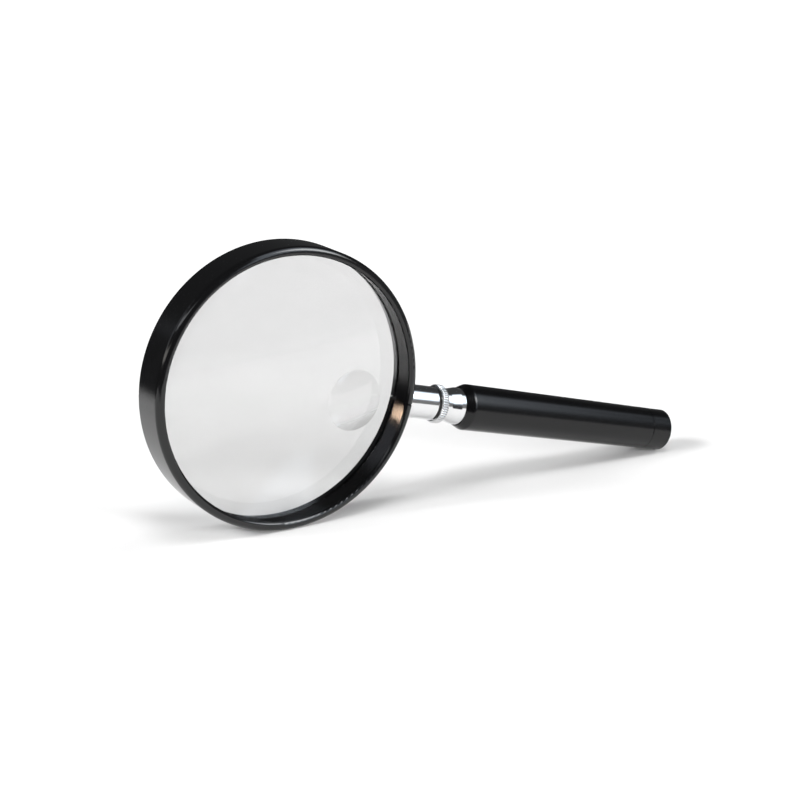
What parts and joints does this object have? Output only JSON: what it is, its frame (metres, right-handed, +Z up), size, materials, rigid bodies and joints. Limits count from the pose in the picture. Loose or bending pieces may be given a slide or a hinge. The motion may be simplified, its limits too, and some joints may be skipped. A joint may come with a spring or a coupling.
{
  "type": "magnifying glass",
  "caption": "Hand magnifying glass: a round biconvex lens with a bifocal insert, held in a split rim on a short bright neck, and a straight tapered handle that unscrews at the neck.",
  "frame": {"origin": "on the floor that the rim and the handle's end stand on, halfway between the rim's far side and the handle's tip, in the lens's mid plane", "axes": "+X from the rim towards the handle's end, level with the floor; +Y along the lens axis towards its back, so the front with the insert faces -Y; +Z up"},
  "size_m": [0.2016, 0.0156, 0.093],
  "materials": {
    "rim_plastic": "glossy black moulding",
    "lens_glass": "clear polished optical glass",
    "insert_glass": "clear polished optical glass",
    "chrome": "bright chrome plating",
    "brass": "plain turned brass",
    "fibre": "matt black washer",
    "steel": "zinc-plated steel",
    "grip_plastic": "satin-gloss black moulding"
  },
  "bodies": {
    "lens_head": {"rim_ring": "rim_plastic", "main_lens": "lens_glass", "bifocal_insert": "insert_glass", "neck_sleeve": "chrome", "neck_bush": "brass"},
    "washer_carrier": {"neck_washer": "fibre"},
    "handle": {"knurled_collar": "chrome", "handle_ferrule": "chrome", "handle_stud": "steel", "handle_grip": "grip_plastic", "tie_washer": "steel", "tie_nut": "steel", "end_cap": "grip_plastic"}
  },
  "joints": [
    {"name": "handle_travel", "type": "slide", "parent": "lens_head", "child": "washer_carrier", "axis": [0.9682, 0, -0.25], "range_m": [0, 0.0044]},
    {"name": "handle_turn", "type": "hinge", "parent": "washer_carrier", "child": "handle", "pos_m": [0.0017, 0, 0.03205], "axis": [0.9682, 0, -0.25], "range_deg": [0, 1980]}
  ],
  "couplings": [
    {"joint": "handle_turn", "follows": "handle_travel", "rad_per_m": 7854}
  ]
}
